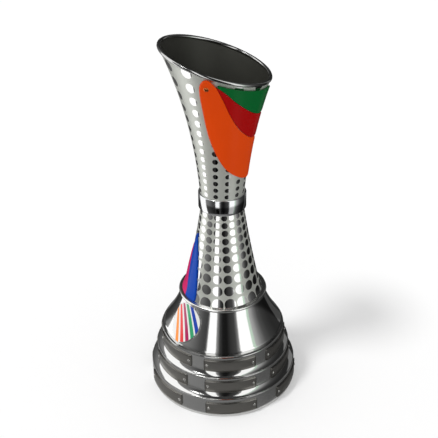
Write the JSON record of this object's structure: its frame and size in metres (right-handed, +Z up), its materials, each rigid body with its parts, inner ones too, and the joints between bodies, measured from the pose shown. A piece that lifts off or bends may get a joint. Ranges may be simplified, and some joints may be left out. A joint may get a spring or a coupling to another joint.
{
  "type": "cup trophy",
  "caption": "Tall cup trophy: slanted flared cup over a flared skirt and bell, coloured petals, stepped round base with name plates.",
  "frame": {"origin": "middle of the underside of the felt pad, on the axis of the turned parts", "axes": "+Z up along the axis of the turned parts, -Y the front, +X to the viewer's right, towards the low side of the slanted mouth"},
  "size_m": [0.2338, 0.2322, 0.5554],
  "materials": {
    "felt": "pressed felt",
    "plywood": "bare, sanded",
    "iron": "black, rough",
    "polished_silver": "mirror polished plate",
    "satin_silver": "satin ground with mirror dots",
    "name_plate": "fine brushed",
    "screw": "bright",
    "plain_aluminium": "as turned",
    "plain_steel": "zinc plated",
    "white_enamel": "gloss enamel",
    "orange_enamel": "gloss translucent enamel",
    "red_enamel": "gloss translucent enamel",
    "green_enamel": "gloss translucent enamel",
    "blue_enamel": "gloss translucent enamel",
    "pink_enamel": "gloss translucent enamel",
    "bonding_pad": "black adhesive pad"
  },
  "bodies": {
    "root": {"ballast_weight": "iron", "base_plate": "plywood", "bottom_nut": "plain_steel", "bottom_washer": "plain_steel", "collar": "polished_silver", "cone_badge": "white_enamel", "cup_floor": "plain_aluminium", "cup_shell": "satin_silver", "felt_pad": "felt", "foot_ring": "polished_silver", "name_plates_bottom": "name_plate", "name_plates_middle": "name_plate", "name_plates_top": "name_plate", "neck_spigot": "plain_aluminium", "petal_blue": "blue_enamel", "petal_green": "green_enamel", "petal_orange": "orange_enamel", "petal_pads_lower": "bonding_pad", "petal_pads_upper": "bonding_pad", "petal_pink": "pink_enamel", "petal_red": "red_enamel", "petal_tip_screw": "screw", "plate_screws_bottom": "screw", "plate_screws_middle": "screw", "plate_screws_top": "screw", "rim_bead": "polished_silver", "shoulder_cone": "polished_silver", "skirt_shell": "satin_silver", "tie_rod": "plain_steel", "tier_bottom": "polished_silver", "tier_middle": "polished_silver", "tier_top": "polished_silver", "top_nut": "plain_steel", "top_washer": "plain_steel"}
  },
  "joints": []
}
